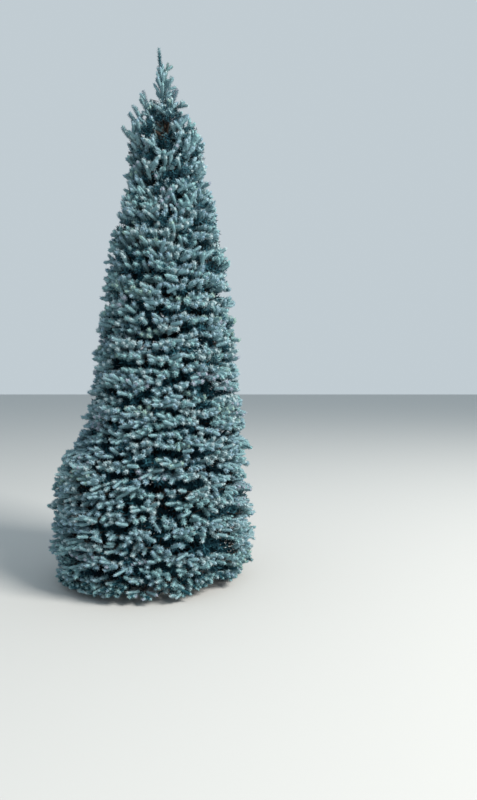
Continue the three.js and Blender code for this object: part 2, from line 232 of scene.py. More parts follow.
@dataclass
class FoliageSpace:
    """The space of one mass of foliage: a tier, a sector of it and what follows from them."""

    crown: Crown
    tier: int
    sector: int
    stem_swerve: float = math.radians(7)
    stem_level: float = 0.46
    stem_sag: float = 0.12
    stem_tip_radius: float = 0.004
    bough_root_radii: tuple[float, float] = (0.019, 0.007)
    spray_lengths: tuple[float, float] = (0.24, 0.13)
    spray_rises: tuple[float, float] = (0.1, 0.75)
    spray_sunk: float = 0.42
    spray_steepness: float = 1.5
    seed_steps: tuple[int, int] = (131, 17)

    def __post_init__(self) -> None:
        """Work out the space's own azimuth, width and reach."""
        crown = self.crown
        tier_step, sector_step = self.seed_steps
        run = SeededRun(crown.seed + tier_step * self.tier + sector_step * self.sector)
        self.half_width = math.pi / crown.masses_in_tier[self.tier]
        self.azimuth = self.tier * GOLDEN_ANGLE + 2 * self.half_width * self.sector
        self.swerve = self.stem_swerve * (2 * run.draw() - 1)
        height = (crown.tier_edge(self.tier) + crown.tier_edge(self.tier + 1)) / 2
        self.share = height / crown.height
        self.reach = crown.reach(height, self.azimuth)
        self.rise = lerp(*self.spray_rises, self.share)
        spray = (1 - self.spray_sunk) * lerp(*self.spray_lengths, self.share)
        self.stem_reach = self.reach - spray / math.hypot(1, self.spray_steepness * self.rise)

    @property
    def label(self) -> str:
        """Return the end of the names of this mass's nodes."""
        return f"{self.tier + 1:02d}_{'abcde'[self.sector]}"

    def point(self, azimuth: float, radius: float, share: float) -> Array:
        """Work out a point of the tier.

        Args:
            azimuth: The azimuth round the trunk.
            radius: The distance from the trunk's axis.
            share: The share of the way up between the tier's two surfaces.

        Returns:
            The point.
        """
        low = self.crown.tier_surface(self.tier, azimuth, radius)
        high = self.crown.tier_surface(self.tier + 1, azimuth, radius)
        return self.crown.trunk_axis(lerp(low, high, share)) + radius * outward(azimuth)

    def face_reach(self, azimuth: float, share: float) -> float:
        """Return how far the crown reaches at a share of the way up the tier's edge."""
        low, high = self.crown.tier_edge(self.tier), self.crown.tier_edge(self.tier + 1)
        return self.crown.reach(lerp(low, high, share), azimuth)

    def stem_point(self, share: float) -> Array:
        """Work out a point of the line of bough and stem.

        Args:
            share: The share of the way from the trunk's axis to the stem's tip.

        Returns:
            The point.
        """
        level = self.stem_level - self.stem_sag * math.sin(math.pi * share)
        azimuth = self.azimuth + self.swerve * share * share
        return self.point(azimuth, share * self.stem_reach, level)

    def stem_radius(self, share: float) -> float:
        """Return the radius of bough and stem at a share of the way to the stem's tip."""
        return lerp(lerp(*self.bough_root_radii, self.share), self.stem_tip_radius, share)


# Finishes.


@dataclass(frozen=True)
class PlainFinish:
    """A matt finish of one plain colour."""

    name: str
    colour: str
    roughness: float = 0.85
    gloss: float = 0.2

    def material(self) -> bpy.types.Material:
        """Make the material.

        Returns:
            The material, one plain colour all over.
        """
        material = bpy.data.materials.new(self.name)
        material.use_nodes = True
        shader = material.node_tree.nodes["Principled BSDF"]
        shader.inputs["Base Color"].default_value = linear(self.colour)
        shader.inputs["Roughness"].default_value = self.roughness
        shader.inputs["Specular IOR Level"].default_value = self.gloss
        return material


@dataclass(frozen=True)
class NeedleFinish(PlainFinish):
    """The matt finish of needles, with the pale bloom of their wax."""

    roughness: float = 0.65
    bloom: float = 0.05
    bloom_roughness: float = 0.5
    bloom_colour: str = "C4DCE0"

    def material(self) -> bpy.types.Material:
        """Make the material.

        Returns:
            The material, one plain colour all over.
        """
        material = super().material()
        shader = material.node_tree.nodes["Principled BSDF"]
        shader.inputs["Sheen Weight"].default_value = self.bloom
        shader.inputs["Sheen Roughness"].default_value = self.bloom_roughness
        shader.inputs["Sheen Tint"].default_value = linear(self.bloom_colour)
        return material


@dataclass(frozen=True)
class BarkFinish(PlainFinish):
    """Grey-brown bark in small rough scales, darker in its cracks and paler where lichen grows."""

    name: str = "bark"
    colour: str = "6E6056"
    roughness: float = 0.92
    crack_colour: str = "3A2E27"
    crack_edge: float = 0.22
    lichen_colour: str = "76786A"
    lichen_range: tuple[float, float] = (0.52, 0.7)
    lichen_most: float = 0.6
    scales: float = 55.0
    stretch: tuple[float, float, float] = (1.0, 1.0, 0.45)
    grain: float = 88.0
    grain_detail: float = 6.0
    grain_share: float = 0.5
    patches: float = 6.6
    relief_strength: float = 0.7
    relief_depth: float = 0.004

    def material(self) -> bpy.types.Material:
        """Make the material, with its scales and cracks from Object coordinates.

        Returns:
            The material.
        """
        material = super().material()
        tree = material.node_tree
        shader = tree.nodes["Principled BSDF"]
        place = add_node(tree, "ShaderNodeTexCoord", {}, {}).outputs["Object"]
        stretch = add_node(tree, "ShaderNodeMapping", {"Scale": self.stretch}, {"Vector": place})
        place = stretch.outputs["Vector"]
        size, source = {"Scale": self.scales}, {"Vector": place}
        scales = add_node(tree, "ShaderNodeTexVoronoi", size, source, feature="DISTANCE_TO_EDGE")
        depth = scales.outputs["Distance"]
        tree.links.new(self.weathered(tree, place, depth), shader.inputs["Base Color"])
        tree.links.new(self.relief(tree, place, depth), shader.inputs["Normal"])
        return material

    def weathered(
        self, tree: bpy.types.NodeTree, place: bpy.types.NodeSocket, depth: bpy.types.NodeSocket
    ) -> bpy.types.NodeSocket:
        """Add the nodes of the colour: scales with dark cracks between them, and lichen in patches.

        Args:
            tree: The material's nodes.
            place: The place on the bark.
            depth: The distance to the nearest crack.

        Returns:
            The colour.
        """
        cracks = add_node(tree, "ShaderNodeValToRGB", {}, {"Fac": depth})
        dark, light = cracks.color_ramp.elements
        dark.color, light.color = linear(self.crack_colour), linear(self.colour)
        light.position = self.crack_edge
        patches = add_node(tree, "ShaderNodeTexNoise", {"Scale": self.patches}, {"Vector": place})
        low, high = self.lichen_range
        spread = {"From Min": low, "From Max": high, "To Max": self.lichen_most}
        amount = add_node(tree, "ShaderNodeMapRange", spread, {"Value": patches.outputs["Fac"]})
        colour = {"B": linear(self.lichen_colour)}
        sources = {"Factor": amount.outputs["Result"], "A": cracks.outputs["Color"]}
        return add_node(tree, "ShaderNodeMix", colour, sources, data_type="RGBA").outputs["Result"]

    def relief(
        self, tree: bpy.types.NodeTree, place: bpy.types.NodeSocket, depth: bpy.types.NodeSocket
    ) -> bpy.types.NodeSocket:
        """Add the nodes of the fine relief: raised scales with a grain of their own.

        Args:
            tree: The material's nodes.
            place: The place on the bark.
            depth: The distance to the nearest crack.

        Returns:
            The surface's normal.
        """
        fineness = {"Scale": self.grain, "Detail": self.grain_detail}
        grain = add_node(tree, "ShaderNodeTexNoise", fineness, {"Vector": place})
        sources = {0: grain.outputs["Fac"], 2: depth}
        height = add_node(tree, "ShaderNodeMath", {1: self.grain_share}, sources, operation="MULTIPLY_ADD")
        size = {"Strength": self.relief_strength, "Distance": self.relief_depth}
        bump = add_node(tree, "ShaderNodeBump", size, {"Height": height.outputs["Value"]})
        return bump.outputs["Normal"]


def add_node(
    tree: bpy.types.NodeTree,
    kind: str,
    values: dict[str | int, float | Sequence[float]],
    sources: dict[str | int, bpy.types.NodeSocket],
    **options: str,
) -> bpy.types.Node:
    """Add a node to a material.

    Args:
        tree: The material's nodes.
        kind: The node's type.
        values: The values of some of its inputs.
        sources: The outputs that feed others of its inputs.
        **options: The node's own settings.

    Returns:
        The node.
    """
    node = tree.nodes.new(kind)
    for option, choice in options.items():
        setattr(node, option, choice)
    for place, value in values.items():
        node.inputs[place].default_value = value
    for place, source in sources.items():
        tree.links.new(source, node.inputs[place])
    return node


class TintSet(Enum):
    """A set of plain finishes, in the order of a piece's material slots."""

    @property
    def slot(self) -> int:
        """Return the place of this tint among the material slots of a piece."""
        return list(type(self)).index(self)


class Tint(TintSet):
    """The plain colours of needles."""

    SILVER_TIP = NeedleFinish("needles_silver_tip", "BCCED2")
    SILVER = NeedleFinish("needles_silver", "9AB0B6")
    BLUE = NeedleFinish("needles_blue", "86A5B2")
    TEAL = NeedleFinish("needles_teal", "7EA7AC")
    STEEL = NeedleFinish("needles_steel", "7897A8")
    VIOLET = NeedleFinish("needles_violet", "8F99A9")
    SAGE = NeedleFinish("needles_sage", "83A39C")
    HEART = NeedleFinish("needles_heart", "779AA2", bloom=0.0)
    # OLD: the darker colour of older needles, deepened with painted shade.
    OLD = NeedleFinish("needles_old", "224D59", bloom=0.0)
    # INNER: near black, painted shade of the crown's inside over the darker colour of old needles.
    INNER = NeedleFinish("needles_inner", "0A3340", bloom=0.0)


class TwigTint(TintSet):
    """The plain colours of twigs."""

    OLD = PlainFinish("twigs_old", "3A312C")
    YOUNG = PlainFinish("twigs_young", "4A413A")


# Joined meshes of many small things.


@dataclass
class JoinedMesh:
    """Arrays of corners, triangles and material slots that become one piece."""

    corners: list[Array] = field(default_factory=list)
    triangles: list[Array] = field(default_factory=list)
    slots: list[Array] = field(default_factory=list)
    corner_count: int = 0

    @property
    def triangle_count(self) -> int:
        """Return how many triangles are gathered so far."""
        return sum(len(t) for t in self.triangles)

    def add(self, corners: Array, triangles: Array, slots: Array) -> None:
        """Gather some more faces.

        Args:
            corners: Places, one row each.
            triangles: Rows of three indices into these corners.
            slots: The material slot of each triangle.
        """
        self.corners.append(corners.reshape(-1, 3))
        self.triangles.append(triangles.reshape(-1, 3) + self.corner_count)
        self.slots.append(slots.reshape(-1))
        self.corner_count += corners.size // 3

    def build(self, name: str, finishes: Iterable[PlainFinish]) -> bpy.types.Object:
        """Make the piece.

        Args:
            name: The new object's name.
            finishes: The finish of each material slot in order.

        Returns:
            The object, at the origin, with its place in its mesh.
        """
        corners = np.concatenate(self.corners).astype(np.float32)
        triangles = np.concatenate(self.triangles).astype(np.int32)
        mesh = bpy.data.meshes.new(name)
        mesh.vertices.add(len(corners))
        mesh.vertices.foreach_set("co", corners.ravel())
        mesh.loops.add(triangles.size)
        mesh.loops.foreach_set("vertex_index", triangles.ravel())
        mesh.polygons.add(len(triangles))
        mesh.polygons.foreach_set("loop_start", np.arange(0, triangles.size, 3, dtype=np.int32))
        mesh.polygons.foreach_set("material_index", np.concatenate(self.slots).astype(np.int32))
        mesh.update(calc_edges=True)
        for finish in finishes:
            mesh.materials.append(finish.material())
        mesh.shade_flat()
        piece = bpy.data.objects.new(name, mesh)
        bpy.context.collection.objects.link(piece)
        return piece


# Shoots of needles.


class Role(Enum):
    """What a face of a shoot belongs to, so that its colour can be dealt out by shoot."""

    BODY = 0
    TIP = 1
    HEART = 2


def round_axis(turns: Array) -> Array:
    """Return directions at right angles to +Y, one for each turn round it."""
    return np.stack([np.cos(turns), np.zeros(len(turns)), np.sin(turns)], 1)


def leaning_out(radial: Array, leans: Array) -> Array:
    """Lean directions away from +Y.

    Args:
        radial: The directions that they lean to, at right angles to +Y.
        leans: How far each one leans.

    Returns:
        The directions, one row each.
    """
    directions = np.sin(leans)[:, None] * radial
    directions[:, 1] += np.cos(leans)
    return directions


@dataclass(frozen=True)
class ShootShape:
    """A shoot that stands along +Y with its upper side to +Z: needles, an undercoat and a heart."""

    length: float
    needles: int
    needle_length: float
    needle_width: float
    base_lean: float = math.radians(66)
    tip_lean: float = math.radians(54)
    lean_bend: float = 2.2
    lift: float = 0.16
    end_start: float = 0.92
    end_lean_share: float = 0.6
    turn_play: float = 0.25
    lean_play: float = 0.09
    length_play: tuple[float, float] = (0.86, 1.08)
    shorter_from: float = 0.7
    shorter_by: float = 0.24
    root_radius: float = 0.0012
    root_end: float = 0.7
    widest_at: float = 0.42
    fold: float = 0.25
    tip_share: float = 0.74
    sheaves: int = 0
    sheaf_length: float = 0.03
    sheaf_spread: float = math.radians(28)
    sheaf_side_reach: float = 0.9
    sheaf_notch_reach: float = 0.5
    sheaf_leans: tuple[float, float] = (math.radians(58), math.radians(34))
    sheaf_start: float = 0.4
    sheaf_turn_play: float = 0.2
    sheaf_length_play: tuple[float, float] = (0.88, 1.06)
    sheaf_root_radius: float = 0.001
    sheaf_root_end: float = 0.85
    heart_radius: float = 0.0
    heart_points: int = 4
    heart_rings: tuple[tuple[float, float], ...] = ((0.08, 0.9), (0.8, 1.0))
    heart_end: float = 0.96

    def blades(self, draw: np.random.Generator) -> tuple[Array, Array, Array]:
        """Model the outer needles, each a folded blade of two faces, in a spiral round the shoot.

        Args:
            draw: The source of small differences between needles.

        Returns:
            Corners, triangles and the role of each triangle.
        """
        count = self.needles
        share = (np.arange(count) + 0.5) / count
        radial = round_axis(np.arange(count) * GOLDEN_ANGLE + draw.normal(0, self.turn_play, count))
        lean = lerp(self.base_lean, self.tip_lean, share**self.lean_bend)
        lean = np.where(share > self.end_start, self.end_lean_share * lean, lean)
        direction = leaning_out(radial, lean + draw.normal(0, self.lean_play, count))
        direction[:, 2] += self.lift
        direction = unit_rows(direction)
        length = self.needle_length * draw.uniform(*self.length_play, count)
        shorter = np.clip((share - self.shorter_from) / (1 - self.shorter_from), 0, 1)
        reach = (length * (1 - self.shorter_by * shorter))[:, None] * direction
        root = self.root_radius * radial
        root[:, 1] += share * (self.length - self.root_end * self.needle_length)
        side = unit_rows(np.cross(direction, radial))
        fold = self.fold * self.needle_width * np.cross(side, direction)
        middle = root + self.widest_at * reach - fold
        half = 0.5 * self.needle_width * side
        corners = np.stack([root, middle + half, root + reach, middle - half], 1)
        triangles = np.array([[0, 1, 2], [0, 2, 3]])[None] + 4 * np.arange(count)[:, None, None]
        roles = np.where(share > self.tip_share, Role.TIP.value, Role.BODY.value)
        return corners.reshape(-1, 3), triangles.reshape(-1, 3), np.repeat(roles, 2)

    def undercoat(self, draw: np.random.Generator) -> tuple[Array, Array, Array]:
        """Model the needles under the outer ones, in sheaves of three that share a root.

        Args:
            draw: The source of small differences between sheaves.

        Returns:
            Corners, triangles and the role of each triangle.
        """
        count = self.sheaves
        share = (np.arange(count) + 0.5) / count
        turn = (np.arange(count) + self.sheaf_start) * GOLDEN_ANGLE
        radial = round_axis(turn + draw.normal(0, self.sheaf_turn_play, count))
        direction = leaning_out(radial, lerp(*self.sheaf_leans, share))
        side = unit_rows(np.cross(direction, radial))
        length = self.sheaf_length * draw.uniform(*self.sheaf_length_play, count)
        root = self.sheaf_root_radius * radial
        root[:, 1] += share * (self.length - self.sheaf_root_end * self.sheaf_length)
        corners = [root]
        reaches = (self.sheaf_side_reach, self.sheaf_notch_reach)
        for spread, reach in zip((-1, -0.5, 0, 0.5, 1), (*reaches, 1.0, *reversed(reaches))):
            angle = spread * self.sheaf_spread
            turned = math.cos(angle) * direction + math.sin(angle) * side
            corners.append(root + reach * length[:, None] * turned)
        fan = np.array([[0, 1, 2], [0, 2, 3], [0, 3, 4], [0, 4, 5]])
        triangles = fan[None] + len(corners) * np.arange(count)[:, None, None]
        roles = np.where(share > self.tip_share, Role.BODY.value, Role.HEART.value)
        return np.stack(corners, 1).reshape(-1, 3), triangles.reshape(-1, 3), np.repeat(roles, len(fan))

    def heart(self) -> tuple[Array, Array, Array]:
        """Model the heart: a slim closed spindle, slightly twisted, which fills the shoot's middle.

        Returns:
            Corners, triangles and the role of each triangle.
        """
        points = self.heart_points
        corners = []
        for ring, (along, width) in enumerate(self.heart_rings):
            around = round_axis(2 * math.pi * (np.arange(points) + 0.5 * ring) / points)
            corners.append(self.heart_radius * width * around + [0.0, along * self.length, 0.0])
        corners.append(np.array([[0.0, 0.0, 0.0], [0.0, self.heart_end * self.length, 0.0]]))
        foot = points * len(self.heart_rings)
        tip = foot + 1
        triangles = []
        for point in range(points):
            after = (point + 1) % points
            triangles.append((foot, point, after))
            for low in range(0, foot - points, points):
                high = low + points
                triangles.append((low + point, high + point, low + after))
                triangles.append((low + after, high + point, high + after))
            last = foot - points
            triangles.append((last + point, tip, last + after))
        at_tip = np.array(triangles).max(axis=1) == tip
        roles = np.where(at_tip, Role.BODY.value, Role.HEART.value)
        return np.concatenate(corners), np.array(triangles), roles

    def model(self, draw: np.random.Generator) -> tuple[Array, Array, Array]:
        """Model one shoot of this shape.

        Args:
            draw: The source of small differences between needles.

        Returns:
            Corners, triangles and the role of each triangle.
        """
        coats = [self.blades(draw)]
        if self.sheaves > 0:
            coats.append(self.undercoat(draw))
        if self.heart_radius > 0:
            coats.append(self.heart())
        corners, triangles, roles = zip(*coats)
        starts = np.cumsum([0] + [len(coat) for coat in corners[:-1]])
        indices = [coat + start for coat, start in zip(triangles, starts)]
        return np.concatenate(corners), np.concatenate(indices), np.concatenate(roles)


class ShootKind(Enum):
    """The kinds of shoots that clothe the tree, by where they stand."""

    FACE = ShootShape(0.1, 30, 0.031, 0.0047, sheaves=12, heart_radius=0.0125, heart_points=5)
    OLD = ShootShape(0.13, 14, 0.024, 0.0048, lift=0.05, sheaves=5, sheaf_length=0.022, heart_radius=0.006)
    INNER = ShootShape(0.2, 15, 0.075, 0.02, base_lean=math.radians(70), lift=0.0)
    LEADER = ShootShape(
        0.21,
        120,
        0.022,
        0.003,
        base_lean=math.radians(56),
        lift=0.0,
        sheaves=40,
        sheaf_length=0.021,
        heart_radius=0.0075,
    )


@dataclass
class Shoot:
    """One shoot in its place on the tree, with the tints of its needles, its tip and its heart."""

    root: Array
    direction: Array
    length: float
    width: float
    tints: tuple[Tint, Tint, Tint]


@dataclass
class ShootBed:
    """All shoots of one kind in one piece, set out from a few modelled ones."""

    kind: ShootKind
    shoots: list[Shoot] = field(default_factory=list)
    models: int = 8
    upright_from: float = 0.95
    upright_back: tuple[float, float, float] = (0.3, -1.0, 0.0)

    def lay(self, mesh: JoinedMesh, seed: int) -> None:
        """Put every shoot into a joined mesh.

        Args:
            mesh: The mesh that gathers the faces.
            seed: The seed of the modelled shoots and of which shoot takes which.
        """
        draw = np.random.default_rng(seed)
        modelled = [self.kind.value.model(draw) for _ in range(self.models)]
        choice = draw.integers(0, self.models, len(self.shoots))
        for model, (corners, triangles, roles) in enumerate(modelled):
            mine = [s for s, c in zip(self.shoots, choice) if c == model]
            if not mine:
                continue
            frames = np.stack([self.frame_of(s) for s in mine])
            roots = np.stack([s.root for s in mine])
            placed = np.einsum("nk,mkj->mnj", corners, frames) + roots[:, None, :]
            indices = triangles[None] + len(corners) * np.arange(len(mine))[:, None, None]
            slots = np.array([[tint.slot for tint in s.tints] for s in mine])
            mesh.add(placed, indices, slots[:, roles])

    def frame_of(self, shoot: Shoot) -> Array:
        """Work out how a modelled shoot is turned and scaled to take a shoot's place.

        Args:
            shoot: The shoot in its place.

        Returns:
            Its side, forward and upper directions as rows, scaled to its size.
        """
        up = UP
        if abs(shoot.direction[2]) > self.upright_from:
            up = shoot.direction * LEVEL + self.upright_back
        side = unit(np.cross(shoot.direction, up))
        upper = np.cross(side, shoot.direction)
        stretch = shoot.length / self.kind.value.length
        return np.stack([side * shoot.width, shoot.direction * stretch, upper * shoot.width])


# Twigs.


@dataclass
class Twig:
    """A slim twig along a few points, which tapers to its end."""

    points: Sequence[Array]
    root_radius: float
    tip_radius: float
    tint: TwigTint = TwigTint.OLD
    sides: int = 3
    upright_from: float = 0.9

    def lay(self, mesh: JoinedMesh) -> None:
        """Put the twig into a joined mesh, with a few sides and closed at both ends.

        Args:
            mesh: The mesh that gathers the faces.
        """
        points, sides = np.array(self.points), self.sides
        tangents = unit_rows(np.gradient(points, axis=0))
        across = UP if abs(tangents[0, 2]) < self.upright_from else np.array([1.0, 0.0, 0.0])
        side = unit_rows(np.cross(tangents, across))
        upper = np.cross(side, tangents)
        radii = np.linspace(self.root_radius, self.tip_radius, len(points))
        turns = 2 * math.pi * np.arange(sides)[None, :, None] / sides
        around = np.cos(turns) * side[:, None] + np.sin(turns) * upper[:, None]
        corners = points[:, None] + radii[:, None, None] * around
        last = sides * (len(points) - 1)
        triangles = []
        for i in range(1, sides - 1):
            triangles += [(0, i + 1, i), (last, last + i, last + i + 1)]
        for ring in range(0, last, sides):
            for i in range(sides):
                a, b = ring + i, ring + (i + 1) % sides
                triangles += [(a, b, a + sides), (b, b + sides, a + sides)]
        indices = np.array(triangles)
        mesh.add(corners, indices, np.full(len(indices), self.tint.slot))


def bent(start: Array, end: Array, end_direction: Array, steps: int, share: float = 0.45) -> list[Array]:
    """Return points along a curve that arrives at its end in a given direction.

    Args:
        start: Where the curve starts.
        end: Where it ends.
        end_direction: The direction in which it ends.
        steps: How many stretches the points divide it into.
        share: How much of its length the bend takes up.

    Returns:
        The points from start to end.
    """
    knee = end - end_direction * share * float(np.linalg.norm(end - start))
    shares = np.linspace(0, 1, steps + 1)
    return [(1 - t) ** 2 * start + 2 * t * (1 - t) * knee + t * t * end for t in shares]


# Growth by the rule.


@dataclass
class Foliage:
    """All that grows in one zone of the crown: its shoots by kind, and its twigs."""

    beds: dict[ShootKind, ShootBed] = field(default_factory=dict)
    twigs: list[Twig] = field(default_factory=list)
    labels: list[str] = field(default_factory=list)

    def add_shoot(self, kind: ShootKind, shoot: Shoot) -> None:
        """Gather one shoot."""
        self.beds.setdefault(kind, ShootBed(kind)).shoots.append(shoot)


@dataclass
class Palette:
    """Deals out the tints of shoots, mostly by cluster."""

    draw: np.random.Generator
    leanings: tuple[tuple[Tint, float], ...] = (
        (Tint.SILVER, 0.18),
        (Tint.BLUE, 0.24),
        (Tint.TEAL, 0.22),
        (Tint.STEEL, 0.2),
        (Tint.VIOLET, 0.1),
        (Tint.SAGE, 0.06),
    )
    common: tuple[Tint, ...] = (Tint.SILVER, Tint.BLUE, Tint.TEAL, Tint.STEEL)
    leaning_share: float = 0.6
    pale_tip_share: float = 0.45

    def for_cluster(self) -> Tint:
        """Deal the tint that a cluster of shoots leans to."""
        tints, shares = zip(*self.leanings)
        return tints[self.draw.choice(len(tints), p=shares)]

    def for_shoot(self, leaning: Tint) -> tuple[Tint, Tint, Tint]:
        """Deal the tints of one shoot.

        Args:
            leaning: The tint that its cluster leans to.

        Returns:
            The tints of its needles, of the needles at its tip and of its heart.
        """
        body = leaning
        if self.draw.random() >= self.leaning_share:
            body = self.common[self.draw.integers(len(self.common))]
        tip = Tint.SILVER_TIP if self.draw.random() < self.pale_tip_share else Tint.SILVER
        return body, tip, Tint.HEART


@dataclass(frozen=True)
class Parting:
    """Where the crown parts in front of the trunk, below its top."""

    half_width: float = 0.065
    heights: tuple[float, float] = (3.39, 3.57)
    fall: float = 0.4

    def holds(self, crown: Crown, place: Array) -> bool:
        """Tell whether a place is in the parting, where nothing grows.

        Args:
            crown: The tree's crown.
            place: The place.

        Returns:
            Whether it stays empty.
        """
        across, ahead, _ = place - crown.trunk_axis(float(place[2]))
        low, high = self.heights
        level = float(place[2]) - self.fall * ahead
        return bool(ahead < 0 and abs(across) < self.half_width and low < level < high)


@dataclass(frozen=True)
class Habit:
    """How foliage grows, in metres, shares and counts. Most pairs are the two ends of a range."""

    # The stem's end and the layers of clusters round it.
    top_fullness: float = 0.64
    stem_start: float = 0.5
    stem_end: float = 0.7
    stem_points: int = 5
    layer_levels: tuple[float, ...] = (0.1, 0.3, 0.5, 0.7, 0.9)
    hem_level: float = 0.05
    cluster_widths: tuple[float, float] = (0.24, 0.1488)
    cluster_shifts: tuple[float, float] = (0.75, 0.25)
    cluster_play: float = 0.3
    missing_shares: tuple[float, float] = (0.04, 0.3)
    level_play: float = 0.085
    most_inset: float = 0.07
    inset_share: float = 0.2
    # The branch of a cluster.
    fork_shares: tuple[float, float] = (0.6, 0.35)
    face_rises: tuple[float, float] = (0.02, 0.95)
    level_rises: tuple[float, float] = (0.6, 1.4)
    rise_play: float = 0.14
    forward_play: float = 0.12
    branch_behind: float = 0.1
    behind_share: float = 0.35
    branch_steps: int = 5
    branch_radii: tuple[float, float] = (0.0045, 0.0028)
    bare_steps: int = 2
    # The rows of shoots round the branch's end: how far up and how far back each one stands.
    rows: tuple[tuple[float, float], ...] = ((-0.006, 0.0), (0.026, 0.024))
    column_spacings: tuple[float, float] = (0.077, 0.091)
    column_overlap: float = 1.04
    place_play: float = 0.022
    face_play: float = 0.014
    # Where on the branch a shoot's twig starts: by its offset, by its lift, and at the most.
    foot_shares: tuple[float, float, float] = (0.675, 0.18, 0.81)
    # A shoot near the crown's face, and its twig.
    side_swing: float = 0.6
    upward_share: float = 0.4
    direction_play: float = 0.17
    face_lengths: tuple[float, float] = (0.08, 0.12)
    top_stretch: float = 0.35
    stray_share: float = 0.1
    stray_reach: float = 0.028
    face_clearance: float = 0.004
    pull_share: float = 1.2
    most_pull: float = 0.06
    needle_reach: float = 0.021
    lowest: float = 0.022
    face_widths: tuple[float, float] = (0.86, 1.1)
    full_width_height: float = 1.5
    width_play: tuple[float, float] = (0.9, 1.08)
    # Shoots below a random share of this height take darker tints: painted shade near the ground.
    painted_shade_height: float = 0.2
    least_twig: float = 0.012
    twig_in_shoot: float = 0.3
    twig_radii: tuple[float, float] = (0.0026, 0.0015)
    parting: Parting = Parting()

    def fullness(self, space: FoliageSpace) -> float:
        """Return the share of the crown's reach that a mass fills, less in the loose top tier."""
        return self.top_fullness if space.tier == len(space.crown.masses_in_tier) - 1 else 1.0


@dataclass(frozen=True)
class Cluster:
    """Where a cluster of shoots stands: round the end of a branch, near the crown's face."""

    azimuth: float
    level: float
    reach: float
    inset: float
    rise: float
    forward: Array
    behind: float
    end: Array


